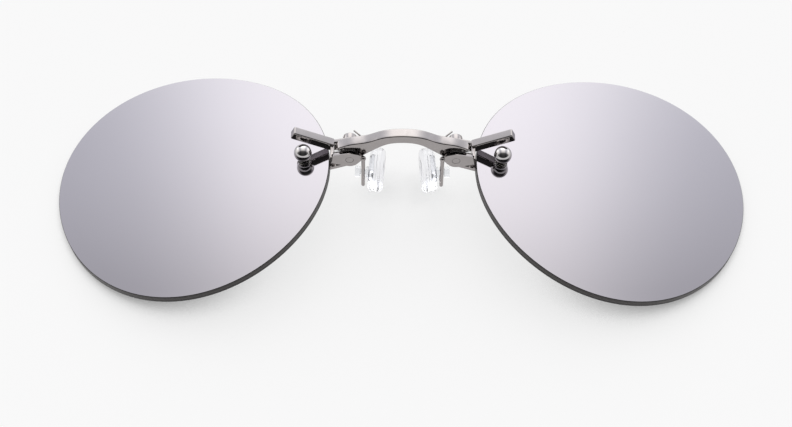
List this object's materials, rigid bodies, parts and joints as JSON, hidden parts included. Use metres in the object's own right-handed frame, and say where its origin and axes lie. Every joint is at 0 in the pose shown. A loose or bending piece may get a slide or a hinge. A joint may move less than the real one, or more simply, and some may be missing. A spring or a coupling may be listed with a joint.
{
  "type": "pince-nez sunglasses",
  "caption": "Rimless pince-nez sunglasses: round mirrored lenses on an arched sprung bridge with finger levers and clear nose pads.",
  "frame": {"origin": "centre of the bounding box in plan, at the height of the surface that the lens rims rest on", "axes": "+Z is the way the lens fronts face, +Y the wearer's up, +X along the two lenses; the plane X = 0 is the symmetry plane"},
  "size_m": [0.125, 0.05, 0.0168],
  "materials": {
    "polished_metal": "polished plating",
    "spring_steel": "drawn wire",
    "mirror_lens": "silver mirror coating",
    "clear_plastic": "clear moulded",
    "clear_silicone": "clear soft silicone"
  },
  "bodies": {
    "frame": {"bridge": "polished_metal", "left_lens": "mirror_lens", "left_lens_sleeve": "clear_plastic", "left_ball_nut": "polished_metal", "left_lens_washer": "clear_plastic", "left_lens_strap": "polished_metal", "left_lens_screw": "polished_metal", "left_pivot_pin": "polished_metal", "left_spring_bush": "polished_metal", "left_torsion_spring": "spring_steel", "right_lens": "mirror_lens", "right_lens_sleeve": "clear_plastic", "right_ball_nut": "polished_metal", "right_lens_washer": "clear_plastic", "right_lens_strap": "polished_metal", "right_lens_screw": "polished_metal", "right_pivot_pin": "polished_metal", "right_spring_bush": "polished_metal", "right_torsion_spring": "spring_steel"},
    "left_lever": {"left_finger_piece": "polished_metal", "left_pad_arm": "polished_metal"},
    "left_pad": {"left_pad_core": "clear_plastic", "left_nose_pad": "clear_silicone"},
    "right_lever": {"right_finger_piece": "polished_metal", "right_pad_arm": "polished_metal"},
    "right_pad": {"right_pad_core": "clear_plastic", "right_nose_pad": "clear_silicone"}
  },
  "joints": [
    {"name": "left_finger_pinch", "type": "hinge", "parent": "frame", "child": "left_lever", "pos_m": [-0.00955, 0.0033, 0.01109], "axis": [0, 1, 0], "range_deg": [0, 25], "stiffness_Nm_per_rad": 0.03, "springref_deg": -1.15, "deforming": ["left_torsion_spring"]},
    {"name": "right_finger_pinch", "type": "hinge", "parent": "frame", "child": "right_lever", "pos_m": [0.00955, 0.0033, 0.01109], "axis": [0, -1, 0], "range_deg": [0, 25], "stiffness_Nm_per_rad": 0.03, "springref_deg": -1.15, "deforming": ["right_torsion_spring"]},
    {"name": "left_pad_rock", "type": "hinge", "parent": "left_lever", "child": "left_pad", "pos_m": [-0.0071, 0.0036, 0.00524], "axis": [0, 0, 1], "range_deg": [-10, 10]},
    {"name": "right_pad_rock", "type": "hinge", "parent": "right_lever", "child": "right_pad", "pos_m": [0.0071, 0.0036, 0.00524], "axis": [0, 0, 1], "range_deg": [-10, 10]}
  ]
}
